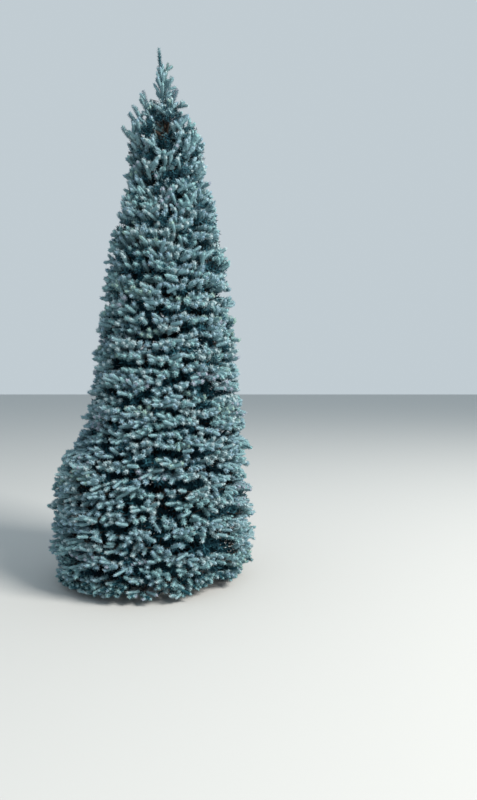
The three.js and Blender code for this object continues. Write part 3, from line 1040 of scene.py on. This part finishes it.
@dataclass
class MassGrower:
    """Grows a mass of foliage in its space, from the stem to the shoots at the crown's face."""

    space: FoliageSpace
    foliage: Foliage
    palette: Palette
    habit: Habit = Habit()

    def __post_init__(self) -> None:
        """Work out the tier's depth and how full the mass is."""
        crown, tier = self.space.crown, self.space.tier
        self.depth = crown.tier_edge(tier + 1) - crown.tier_edge(tier)
        self.fullness = self.habit.fullness(self.space)
        self.draw = self.palette.draw

    def spread(self, most: float) -> float:
        """Return a number between minus and plus the most."""
        return float(self.draw.uniform(-most, most))

    def within(self, point: Array) -> float:
        """Work out how far a point lies within the crown's reach.

        Args:
            point: The point.

        Returns:
            The distance to the crown's face, less than nothing if it is outside.
        """
        crown, height = self.space.crown, float(point[2])
        away = point - crown.trunk_axis(height)
        return crown.reach(height, math.atan2(away[1], away[0])) - math.hypot(away[0], away[1])

    def grow(self) -> None:
        """Grow the stem's end, the clusters round it, layer by layer, and the inside of the mass."""
        space, habit = self.space, self.habit
        self.foliage.labels.append(space.label)
        end = max(self.fullness, habit.stem_end)
        stem = [space.stem_point(s) for s in np.linspace(habit.stem_start, end, habit.stem_points)]
        radius = space.stem_radius(habit.stem_start)
        self.foliage.twigs.append(Twig(stem, radius, space.stem_tip_radius))
        levels = habit.layer_levels
        if space.tier == 0:
            levels = (habit.hem_level, *levels)
        width = lerp(*habit.cluster_widths, space.share)
        clusters = max(2, round(2 * space.half_width * space.reach / width))
        for layer, level in enumerate(levels):
            shift = habit.cluster_shifts[layer % 2]
            for cluster in range(clusters):
                across = (2 * (cluster + shift) + self.spread(habit.cluster_play)) / clusters - 1
                if self.draw.random() >= lerp(*habit.missing_shares, space.share**4):
                    self.grow_cluster(across, level, 2 * space.half_width / clusters)
        InnerNeedles(self).fill()

    def grow_cluster(self, across: float, level: float, angle: float) -> None:
        """Grow a branch from the stem and the cluster of shoots round its end.

        Args:
            across: How far across the space the branch ends, from -1 to 1.
            level: How far up the tier it ends, from 0 to 1.
            angle: The angle round the trunk that the cluster takes up.
        """
        space, habit = self.space, self.habit
        level = max(level + self.spread(habit.level_play), habit.hem_level)
        azimuth = space.azimuth + space.half_width * across
        reach = space.face_reach(azimuth, level)
        inset = min(habit.most_inset * float(self.draw.random()) ** 2, habit.inset_share * reach)
        inset += (1 - self.fullness) * reach
        rise = lerp(*habit.face_rises, space.share**3) * lerp(*habit.level_rises, level)
        rise += self.spread(habit.rise_play)
        aside = self.spread(habit.forward_play) * outward(azimuth + math.pi / 2)
        forward = unit(outward(azimuth) + aside + rise * UP)
        behind = min(habit.branch_behind, habit.behind_share * reach)
        end = space.point(azimuth, reach - inset, level) - forward * behind
        fork = space.stem_point(lerp(*habit.fork_shares, min(abs(across), 1.0)))
        branch = bent(fork, end, forward, habit.branch_steps)
        self.foliage.twigs.append(Twig(branch, *habit.branch_radii))
        if self.fullness == 1.0:
            OldNeedles(self).clothe(branch[habit.bare_steps :])
        self.grow_rows(Cluster(azimuth, level, reach, inset, rise, forward, behind, end), angle)

    def grow_rows(self, cluster: Cluster, angle: float) -> None:
        """Grow the shoots of a cluster, in rows above each other.

        Args:
            cluster: Where the cluster stands.
            angle: The angle round the trunk that it takes up.
        """
        space, habit = self.space, self.habit
        leaning = self.palette.for_cluster()
        spacing = lerp(*habit.column_spacings, space.share)
        columns = max(2, round(angle * cluster.reach * habit.column_overlap / spacing))
        offset_share, lift_share, most_share = habit.foot_shares
        for row, (lift, back) in enumerate(habit.rows):
            count = columns + row % 2
            for column in range(count):
                offset = (column + 0.5 - count / 2) * spacing + self.spread(habit.place_play)
                azimuth = cluster.azimuth + offset / cluster.reach
                level = cluster.level + (lift + self.spread(habit.place_play)) / self.depth
                face = space.face_reach(azimuth, level) - cluster.inset - back
                place = space.point(azimuth, face - abs(self.spread(habit.face_play)), level)
                along = offset_share * abs(offset) + lift_share * abs(lift)
                foot = cluster.end - cluster.forward * min(along, most_share * cluster.behind)
                self.grow_shoot(foot, place, cluster.rise, leaning)

    def grow_shoot(self, foot: Array, place: Array, rise: float, leaning: Tint) -> None:
        """Grow a twig from a branch, and the shoot that ends at a place near the crown's face.

        Args:
            foot: Where the twig leaves the branch.
            place: Where the shoot's tip comes.
            rise: How steeply the branch ends.
            leaning: The tint that the cluster leans to.
        """
        habit, crown = self.habit, self.space.crown
        toward = unit(place - foot)
        swing = self.spread(habit.side_swing) * unit(np.cross(toward, UP))
        play = self.draw.normal(0, habit.direction_play, 3)
        direction = unit(toward + swing + habit.upward_share * rise * UP + play)
        stretch = 1 + habit.top_stretch * (float(place[2]) / crown.height) ** 2
        length = float(self.draw.uniform(*habit.face_lengths)) * stretch
        if self.draw.random() < habit.stray_share:
            place = place + direction * habit.stray_reach
        else:
            pull = habit.pull_share * (habit.face_clearance - self.within(place))
            place = place + unit(foot - place) * min(max(pull, 0.0), habit.most_pull)
        root = place - direction * length
        if habit.parting.holds(crown, place) or habit.parting.holds(crown, root):
            return
        lift = max(habit.lowest + habit.needle_reach - min(root[2], place[2]), 0.0) * UP
        root, place = root + lift, place + lift
        width = lerp(*habit.face_widths, min(float(place[2]) / habit.full_width_height, 1.0))
        width *= float(self.draw.uniform(*habit.width_play))
        # Shoots near the ground, more often the lower they stand, take darker tints: painted shade under
        # the skirt.
        tints = (Tint.HEART, Tint.SAGE, Tint.OLD)
        if place[2] >= habit.painted_shade_height * float(self.draw.random()):
            tints = self.palette.for_shoot(leaning)
        self.foliage.add_shoot(ShootKind.FACE, Shoot(root, direction, length, width, tints))
        if np.linalg.norm(root - foot) > habit.least_twig:
            end = root + direction * length * habit.twig_in_shoot
            self.foliage.twigs.append(Twig([foot, root, end], *habit.twig_radii, TwigTint.YOUNG))


@dataclass
class OldNeedles:
    """Grows the older needles along the branches of a mass, whose dark tints add painted shade to their
    own darker colour.
    """

    mass: MassGrower
    least_step: float = 0.02
    bare_share: float = 0.66
    bends: tuple[float, float] = (0.5, 1.1)
    direction_play: float = 0.15
    room_share: float = 0.8
    lengths: tuple[float, float] = (0.02, 0.11)
    dark_tip_share: float = 0.6

    def clothe(self, branch: Sequence[Array]) -> None:
        """Clothe a stretch of a branch in older needles.

        Args:
            branch: The points of the stretch.
        """
        for low, high in zip(branch[:-1], branch[1:]):
            if float(np.linalg.norm(high - low)) < self.least_step:
                continue
            for side in (-1, 1):
                if self.mass.draw.random() >= self.bare_share:
                    self.grow_shoot(low, high - low, side)

    def grow_shoot(self, low: Array, step: Array, side: int) -> None:
        """Grow a shoot at one side of a branch.

        Args:
            low: Where the stretch of the branch starts.
            step: The way from there to its end.
            side: The side, -1 or 1.
        """
        mass, draw = self.mass, self.mass.draw
        bend = unit(np.cross(step, UP)) * side * draw.uniform(*self.bends)
        direction = unit(unit(step) + bend + draw.normal(0, self.direction_play, 3))
        root = low + step * float(draw.random())
        length = float(np.clip(self.room_share * mass.within(root), *self.lengths))
        if min(root[2], root[2] + direction[2] * length) < 2 * mass.habit.lowest:
            return
        # Older needles take dark tints, partly painted shade, and their hearts take the near-black tint of
        # painted shade.
        tip = Tint.OLD if draw.random() < self.dark_tip_share else Tint.TEAL
        tints = (Tint.OLD, tip, Tint.INNER)
        mass.foliage.add_shoot(ShootKind.OLD, Shoot(root, direction, length, 1.0, tints))


@dataclass
class InnerNeedles:
    """Grows the sprays of old needles that fill the inside of a mass, near black with painted shade."""

    mass: MassGrower
    sprays_per_square_metre: float = 290.0
    least_width: float = 0.1
    width_by_reach: float = 1.7
    levels: tuple[float, float] = (0.05, 0.95)
    shares: tuple[float, float] = (0.22, 0.82)
    share_bend: float = 0.75
    direction_play: float = 0.45
    most_length: float = 0.2
    room_share: float = 0.7
    widths: tuple[float, float] = (1.15, 0.55)
    lowest: float = 0.075
    needle_clearance: float = 1.45
    twig_share: float = 0.5
    twig_fall: float = 0.2
    twig_reach: float = 0.6
    twig_radii: tuple[float, float] = (0.003, 0.002)

    def fill(self) -> None:
        """Fill the inside of the mass, with more and slimmer sprays where it is narrow."""
        mass, space = self.mass, self.mass.space
        area = 2 * space.half_width * space.reach * mass.depth
        width = min(1.0, self.least_width + self.width_by_reach * space.reach * mass.fullness)
        for _ in range(round(area * self.sprays_per_square_metre / width)):
            self.grow_spray(width)

    def grow_spray(self, width: float) -> None:
        """Grow one spray, and perhaps a twig that bears it.

        Args:
            width: How wide the sprays of this mass are, up to 1 where it is broad.
        """
        mass, space, draw = self.mass, self.mass.space, self.mass.draw
        azimuth = space.azimuth + space.half_width * mass.spread(1.0)
        level = float(draw.uniform(*self.levels))
        reach = mass.fullness * space.face_reach(azimuth, level)
        share = lerp(*self.shares, float(draw.random()) ** self.share_bend)
        root = space.point(azimuth, reach * share, level)
        if mass.habit.parting.holds(space.crown, root):
            return
        direction = unit(outward(azimuth) + draw.normal(0, self.direction_play, 3))
        length = min(self.most_length, self.room_share * reach * (1 - share))
        root[2] = max(root[2], self.lowest)
        if root[2] < 2 * self.lowest:
            direction[2] = abs(direction[2])
        room = float(root[2]) / (self.needle_clearance * ShootKind.INNER.value.needle_length)
        width = min(lerp(*self.widths, share) * width, room)
        # The inside's sprays take near-black tints: painted shade of the crown's inside.
        tints = (Tint.INNER, Tint.OLD, Tint.INNER)
        mass.foliage.add_shoot(ShootKind.INNER, Shoot(root, direction, length, width, tints))
        if draw.random() < self.twig_share:
            trunk = space.crown.trunk_axis(float(root[2]) - self.twig_fall * reach * share)
            foot = lerp(root, trunk, self.twig_reach)
            mass.foliage.twigs.append(Twig([foot, root], *self.twig_radii))


@dataclass(frozen=True)
class StrongShoot:
    """A long shoot that stands out of the crown's top, from its root to its tip."""

    root: tuple[float, float, float]
    tip: tuple[float, float, float]
    rise: float = 0.6
    width: float = 1.35


@dataclass
class LeaderGrower:
    """Grows the leader above the trunk, its ring of upright side shoots and the strong shoots near it."""

    crown: Crown
    foliage: Foliage
    palette: Palette
    stalk_end: float = 0.03
    stalk_radii: tuple[float, float] = (0.007, 0.003)
    leader_length: float = 0.228
    leader_below_tip: float = 0.23
    leader_width: float = 1.4
    shoots: int = 20
    shoot_width: float = 0.9
    shoot_rises: tuple[float, float] = (-0.09, 0.13)
    shoot_lengths: tuple[float, float] = (0.15, 0.1)
    shoot_tilts: tuple[float, float] = (math.radians(40), math.radians(15))
    strong_steps: int = 2
    strong_bend: float = 0.4
    strong_overlap: float = 0.02
    side_shares: tuple[float, ...] = (0.1, 0.5)
    side_lengths: tuple[float, float] = (0.055, 0.08)
    side_lift: float = 0.3
    side_forward: float = 0.9
    side_width: float = 0.85
    strong_shoots: tuple[StrongShoot, ...] = (
        StrongShoot((-0.04, 0.0, 3.52), (-0.12, 0.0, 3.8)),
        StrongShoot((-0.05, 0.0, 3.5), (-0.2, 0.0, 3.69)),
        StrongShoot((-0.06, -0.04, 3.48), (-0.22, -0.05, 3.6)),
        StrongShoot((-0.04, -0.05, 3.55), (-0.12, -0.11, 3.7)),
        StrongShoot((-0.05, -0.06, 3.46), (-0.15, -0.13, 3.58)),
        StrongShoot((-0.08, 0.02, 3.48), (-0.2, 0.03, 3.6)),
        StrongShoot((-0.14, -0.05, 3.36), (-0.27, -0.07, 3.49)),
        StrongShoot((0.06, -0.02, 3.62), (0.22, -0.04, 3.68), rise=-0.5),
        StrongShoot((0.06, 0.02, 3.54), (0.22, 0.0, 3.62), rise=-0.4),
        StrongShoot((0.03, 0.0, 3.83), (0.07, 0.0, 4.01), width=1.0),
        StrongShoot((0.06, 0.0, 3.64), (0.14, 0.0, 3.81)),
        StrongShoot((0.05, -0.04, 3.68), (0.1, -0.06, 3.88), width=1.1),
        StrongShoot((0.04, 0.06, 3.56), (0.02, 0.2, 3.74)),
        StrongShoot((0.1, 0.05, 3.54), (0.15, 0.15, 3.7)),
        StrongShoot((-0.02, 0.06, 3.56), (-0.12, 0.16, 3.72)),
    )

    def grow(self) -> None:
        """Grow the leader and the shoots round it."""
        self.foliage.labels.append("leader")
        foot = self.crown.trunk_axis(self.crown.trunk_top)
        tip = self.crown.trunk_axis(self.crown.height)
        up = unit(tip - foot)
        self.foliage.twigs.append(Twig([foot, tip - self.stalk_end * up], *self.stalk_radii))
        root, dark = tip - self.leader_below_tip * up, (Tint.HEART, Tint.HEART, Tint.OLD)
        leader = Shoot(root, up, self.leader_length, self.leader_width, dark)
        self.foliage.add_shoot(ShootKind.LEADER, leader)
        for number, share in enumerate(np.linspace(0, 1, self.shoots)):
            tilt = lerp(*self.shoot_tilts, share)
            direction = math.sin(tilt) * outward(number * GOLDEN_ANGLE) + math.cos(tilt) * UP
            root = foot + up * lerp(*self.shoot_rises, share)
            length = lerp(*self.shoot_lengths, share)
            tints = self.palette.for_shoot(self.palette.for_cluster())
            self.foliage.add_shoot(ShootKind.FACE, Shoot(root, direction, length, self.shoot_width, tints))
        for strong in self.strong_shoots:
            self.grow_strong(strong)

    def grow_strong(self, strong: StrongShoot) -> None:
        """Grow one strong shoot, bent, with short side shoots along it.

        Args:
            strong: Where the shoot starts and ends.
        """
        draw, palette = self.palette.draw, self.palette
        start, end = np.array(strong.root), np.array(strong.tip)
        arrival = unit(unit(end - start) + strong.rise * UP)
        line = bent(start, end, arrival, self.strong_steps, self.strong_bend)
        leaning = palette.for_cluster()
        for low, high in zip(line[:-1], line[1:]):
            along = unit(high - low)
            length = float(np.linalg.norm(high - low)) + self.strong_overlap
            shoot = Shoot(low, along, length, strong.width, palette.for_shoot(leaning))
            self.foliage.add_shoot(ShootKind.LEADER, shoot)
            for share in self.side_shares:
                aside = unit(draw.normal(0, 1, 3) + self.side_lift * UP)
                direction = unit(self.side_forward * along + aside)
                reach = float(draw.uniform(*self.side_lengths))
                tints = palette.for_shoot(leaning)
                shoot = Shoot(lerp(low, high, share), direction, reach, self.side_width, tints)
                self.foliage.add_shoot(ShootKind.FACE, shoot)


class Zone(Enum):
    """The zones of the crown, each with its tiers from first to last."""

    SKIRT = (0, 0)
    LOW = (1, 1)
    LOWER_MIDDLE = (2, 2)
    WAIST = (3, 3)
    MIDDLE = (4, 4)
    UPPER_MIDDLE = (5, 6)
    HIGH = (7, 8)
    TOP = (9, 10)


# Trunk and limbs.


@dataclass
class WoodenParts:
    """The trunk and the limbs, shaped ring by ring, with relief in their bark."""

    crown: Crown
    finish: BarkFinish = BarkFinish()
    trunk_sides: int = 30
    trunk_rings: int = 30
    ring_spread: float = 1.7
    trunk_divisions: int = 2
    flared_heights: float = 3.0
    ring_play: float = 1e-4
    lobe_play: float = 0.02
    foot_thickness: float = 0.006
    limb_sides: int = 8
    limb_rings: int = 6
    limb_shares: tuple[float, float] = (0.02, 0.56)
    limb_divisions: int = 1
    root_end: float = 0.1
    root_thickening: float = 1.3
    relief: float = 0.0045
    relief_size: float = 0.018
    relief_level: float = 0.35

    def start(self, name: str) -> bpy.types.Object:
        """Start a new mesh object in edit mode.

        Args:
            name: The new object's name.

        Returns:
            The object, empty and open for shaping.
        """
        bpy.ops.object.select_all(action="DESELECT")
        piece = bpy.data.objects.new(name, bpy.data.meshes.new(name))
        bpy.context.collection.objects.link(piece)
        bpy.context.view_layer.objects.active = piece
        piece.select_set(True)
        bpy.ops.object.mode_set(mode="EDIT")
        return piece

    def limb(self, points: Sequence[Array], radii: Sequence[float], sides: int) -> None:
        """Shape a limb in edit mode: a disc that is extruded and resized from ring to ring.

        Args:
            points: The middle of each ring.
            radii: The radius of each ring.
            sides: The number of sides.
        """
        bpy.ops.mesh.select_all(action="DESELECT")
        aim = Vector(points[1] - points[0]).to_track_quat("Z", "Y").to_euler()
        bpy.ops.mesh.primitive_circle_add(
            vertices=sides, radius=radii[0], fill_type="NGON", location=points[0], rotation=aim
        )
        for ring in range(1, len(points)):
            step = Vector(points[ring] - points[ring - 1])
            bpy.ops.mesh.extrude_region_move(TRANSFORM_OT_translate={"value": step})
            scale = radii[ring] / radii[ring - 1]
            bpy.ops.transform.resize(value=(scale,) * 3, center_override=Vector(points[ring]))

    def finish_shape(self, piece: bpy.types.Object, levels: int) -> None:
        """Close edit mode and give a piece its smooth form and the relief of its bark.

        Args:
            piece: The object in edit mode.
            levels: How often its faces are divided.
        """
        bpy.ops.mesh.select_all(action="SELECT")
        bpy.ops.mesh.normals_make_consistent(inside=False)
        bpy.ops.object.mode_set(mode="OBJECT")
        rounding = piece.modifiers.new("rounding", "SUBSURF")
        rounding.levels = rounding.render_levels = levels
        scales = bpy.data.textures.new(f"{piece.name}_relief", "VORONOI")
        scales.noise_scale = self.relief_size
        scales.distance_metric = "DISTANCE_SQUARED"
        relief = piece.modifiers.new("relief", "DISPLACE")
        relief.texture = scales
        relief.texture_coords = "LOCAL"
        relief.strength = self.relief
        relief.mid_level = self.relief_level
        bpy.ops.object.modifier_apply(modifier=rounding.name)
        bpy.ops.object.modifier_apply(modifier=relief.name)
        piece.data.materials.append(self.finish.material())
        bpy.ops.object.shade_smooth()

    def build_trunk(self) -> bpy.types.Object:
        """Build the trunk, with its root flare and its flat cut at ground level.

        Returns:
            The trunk's object.
        """
        crown = self.crown
        piece = self.start("trunk_bark")
        shares = np.linspace(0, 1, self.trunk_rings + 1) ** self.ring_spread
        heights = [crown.trunk_top * float(s) for s in shares]
        mean = [crown.trunk_radius(h, math.pi / 2 / crown.flare_lobes) for h in heights]
        self.limb([crown.trunk_axis(h) for h in heights], mean, self.trunk_sides)
        self.shape_flare(piece, heights, mean)
        self.finish_shape(piece, self.trunk_divisions)
        self.flatten_foot(piece)
        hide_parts("trunk")
        return piece

    def shape_flare(
        self, piece: bpy.types.Object, heights: Sequence[float], mean: Sequence[float]
    ) -> None:
        """Draw out the root swellings, azimuth by azimuth, on the rings near the ground.

        Args:
            piece: The trunk in edit mode.
            heights: The height of each ring.
            mean: The radius of each ring before this.
        """
        crown = self.crown
        sides = range(self.trunk_sides)
        bpy.ops.mesh.select_mode(type="VERT")
        for height, radius in zip(heights, mean):
            if height > self.flared_heights * crown.flare_height:
                break
            axis = crown.trunk_axis(height)
            for lobe in sorted({round(math.cos(crown.flare_lobes * self.turn(s)), 3) for s in sides}):
                azimuth = math.acos(min(max(lobe, -1.0), 1.0)) / crown.flare_lobes
                scale = crown.trunk_radius(height, azimuth) / radius
                self.select(piece, lambda at: self.on_lobe(at, axis, lobe))
                bpy.ops.transform.resize(value=(scale, scale, 1.0), center_override=Vector(axis))

    def turn(self, side: int) -> float:
        """Return the azimuth of one of the trunk's sides."""
        return 2 * math.pi * side / self.trunk_sides

    def on_lobe(self, at: Vector, axis: Array, lobe: float) -> bool:
        """Tell whether a corner of the trunk is to be moved with its kind.

        Args:
            at: The corner's place.
            axis: The middle of the ring.
            lobe: How far out the flare's lobes stand at the azimuths of this kind.

        Returns:
            Whether the corner is on the ring and at such an azimuth.
        """
        azimuth = math.atan2(at.y - axis[1], at.x - axis[0])
        on_ring = abs(at.z - axis[2]) < self.ring_play
        return on_ring and abs(math.cos(self.crown.flare_lobes * azimuth) - lobe) < self.lobe_play

    def select(self, piece: bpy.types.Object, test: Callable[[Vector], bool]) -> None:
        """Select in edit mode the corners of a piece that meet a test.

        Args:
            piece: The object in edit mode.
            test: Tells from a corner's place whether it is selected.
        """
        bpy.ops.object.mode_set(mode="OBJECT")
        for polygon in piece.data.polygons:
            polygon.select = False
        for edge in piece.data.edges:
            edge.select = False
        for corner in piece.data.vertices:
            corner.select = bool(test(corner.co))
        bpy.ops.object.mode_set(mode="EDIT")

    def flatten_foot(self, piece: bpy.types.Object) -> None:
        """Press the trunk's foot flat at ground level.

        Args:
            piece: The trunk in its final shape.
        """
        bpy.ops.object.mode_set(mode="EDIT")
        bpy.ops.mesh.select_mode(type="VERT")
        self.select(piece, lambda at: at.z < self.foot_thickness)
        bpy.ops.transform.resize(value=(1.0, 1.0, 0.0), center_override=(0.0, 0.0, 0.0))
        bpy.ops.object.mode_set(mode="OBJECT")

    def build_limbs(self, spaces: Iterable[FoliageSpace]) -> bpy.types.Object:
        """Build the limb of every mass, from inside the trunk to the middle of the stem.

        Args:
            spaces: The spaces of all masses.

        Returns:
            All limbs as one piece, which stands for the boughs.
        """
        piece = self.start("bough_bark")
        boughs = []
        for space in spaces:
            shares = np.linspace(*self.limb_shares, self.limb_rings)
            radii = [space.stem_radius(s) for s in shares]
            at_root = shares <= self.root_end
            radii = np.where(at_root, self.root_thickening, 1.0) * radii
            self.limb([space.stem_point(s) for s in shares], radii, self.limb_sides)
            if space.tier < self.crown.tiers_with_boughs:
                boughs.append(f"bough_{space.label}")
        self.finish_shape(piece, self.limb_divisions)
        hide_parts(*boughs)
        return piece


# Stage.


@dataclass(frozen=True)
class Studio:
    """The plain floor, the soft light and the camera at the photograph's place."""

    camera_place: tuple[float, float, float] = (0.623, -4.77, 1.55)
    camera_pitch: float = math.radians(-1.9)
    lens: float = 27.0
    sensor_width: float = 36.0
    farthest: float = 200.0
    floor_size: float = 120.0
    floor_finish: PlainFinish = PlainFinish("floor_pale", "BDC0C0", 0.9, 0.5)
    sky_colour: str = "D8E4EB"
    sky_strength: float = 0.78
    key_place: tuple[float, float, float] = (11.0, -7.2, 11.5)
    key_power: float = 4500.0
    key_size: float = 6.0
    key_colour: str = "FFF7EE"
    target: tuple[float, float, float] = (0.0, 0.0, 1.9)

    def build_floor(self) -> bpy.types.Object:
        """Build the plain pale floor.

        Returns:
            The floor's object.
        """
        bpy.ops.object.select_all(action="DESELECT")
        bpy.ops.mesh.primitive_plane_add(size=self.floor_size)
        floor = bpy.context.object
        floor.name = "floor"
        floor.data.materials.append(self.floor_finish.material())
        return floor

    def light(self) -> None:
        """Set up the even light of the sky and one large soft light from above."""
        scene = bpy.context.scene
        world = bpy.data.worlds.new("soft_sky")
        world.use_nodes = True
        background = world.node_tree.nodes["Background"]
        background.inputs["Color"].default_value = linear(self.sky_colour)
        background.inputs["Strength"].default_value = self.sky_strength
        scene.world = world
        scene.view_settings.view_transform = "Standard"
        key = bpy.data.lights.new("key", "AREA")
        key.energy, key.size = self.key_power, self.key_size
        key.color = linear(self.key_colour)[:3]
        lamp = bpy.data.objects.new("key", key)
        lamp.location = self.key_place
        aim = Vector(self.target) - Vector(self.key_place)
        lamp.rotation_euler = aim.to_track_quat("-Z", "Y").to_euler()
        bpy.context.collection.objects.link(lamp)

    def place_camera(self) -> bpy.types.Object:
        """Place the camera where the photograph was taken from.

        Returns:
            The camera's object.
        """
        data = bpy.data.cameras.new("camera")
        data.lens, data.sensor_width = self.lens, self.sensor_width
        data.clip_end = self.farthest
        camera = bpy.data.objects.new("camera", data)
        camera.location = self.camera_place
        camera.rotation_euler = (math.pi / 2 + self.camera_pitch, 0.0, 0.0)
        bpy.context.collection.objects.link(camera)
        bpy.context.scene.camera = camera
        return camera


# The whole tree.


@dataclass
class BlueSpruce:
    """The whole tree: its wood, and its foliage zone by zone."""

    crown: Crown = Crown()
    seed_step: int = 10

    def build_wood(self, spaces: Sequence[FoliageSpace]) -> None:
        """Build trunk and limbs, and report them.

        Args:
            spaces: The spaces of all masses.
        """
        wood = WoodenParts(self.crown)
        for piece in (wood.build_trunk(), wood.build_limbs(spaces)):
            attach(piece, "root")
            LOG.info("%s: %d faces", piece.name, len(piece.data.polygons))

    def grow_zone(self, zone: Zone, spaces: Iterable[FoliageSpace], palette: Palette) -> Foliage:
        """Grow the masses of one zone of the crown, with the leader in the top one.

        Args:
            zone: The zone.
            spaces: The spaces of the masses in it.
            palette: What deals out the tints.

        Returns:
            The shoots and twigs of the zone.
        """
        foliage = Foliage()
        for space in spaces:
            MassGrower(space, foliage, palette).grow()
        if zone is Zone.TOP:
            LeaderGrower(self.crown, foliage, palette).grow()
        return foliage

    def build_needles(self, zone: Zone, foliage: Foliage) -> None:
        """Build the needles of one zone, which replace its masses.

        Args:
            zone: The zone.
            foliage: What has grown in it.
        """
        needles = JoinedMesh()
        seed = self.crown.seed + self.seed_step * zone.value[0]
        for number, bed in enumerate(foliage.beds.values()):
            bed.lay(needles, seed + number)
        piece = needles.build(f"needles_{zone.name.lower()}", [tint.value for tint in Tint])
        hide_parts(*(f"foliage_{label}" for label in foliage.labels))
        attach(piece, "root")
        counts = {kind.name.lower(): len(bed.shoots) for kind, bed in foliage.beds.items()}
        LOG.info("%s: %d triangles, shoots %s", piece.name, needles.triangle_count, counts)

    def build_twigs(self, zone: Zone, foliage: Foliage) -> None:
        """Build the twigs of one zone.

        Args:
            zone: The zone.
            foliage: What has grown in it.
        """
        twigs = JoinedMesh()
        for twig in foliage.twigs:
            twig.lay(twigs)
        wood = twigs.build(f"twigs_{zone.name.lower()}", [tint.value for tint in TwigTint])
        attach(wood, "root")
        LOG.info("%s: %d triangles", wood.name, twigs.triangle_count)

    def build(self) -> None:
        """Build the tree."""
        spaces = [
            FoliageSpace(self.crown, tier, sector)
            for tier, masses in enumerate(self.crown.masses_in_tier)
            for sector in range(masses)
        ]
        self.build_wood(spaces)
        palette = Palette(np.random.default_rng(self.crown.seed))
        for zone in Zone:
            first, last = zone.value
            mine = [space for space in spaces if first <= space.tier <= last]
            foliage = self.grow_zone(zone, mine, palette)
            self.build_needles(zone, foliage)
            self.build_twigs(zone, foliage)


def main() -> None:
    """Build the tree on its plain stage."""
    logging.basicConfig(level=logging.INFO, format="%(message)s")
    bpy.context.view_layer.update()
    studio = Studio()
    studio.place_camera()
    studio.build_floor()
    studio.light()
    BlueSpruce().build()


if __name__ == "__main__":
    main()
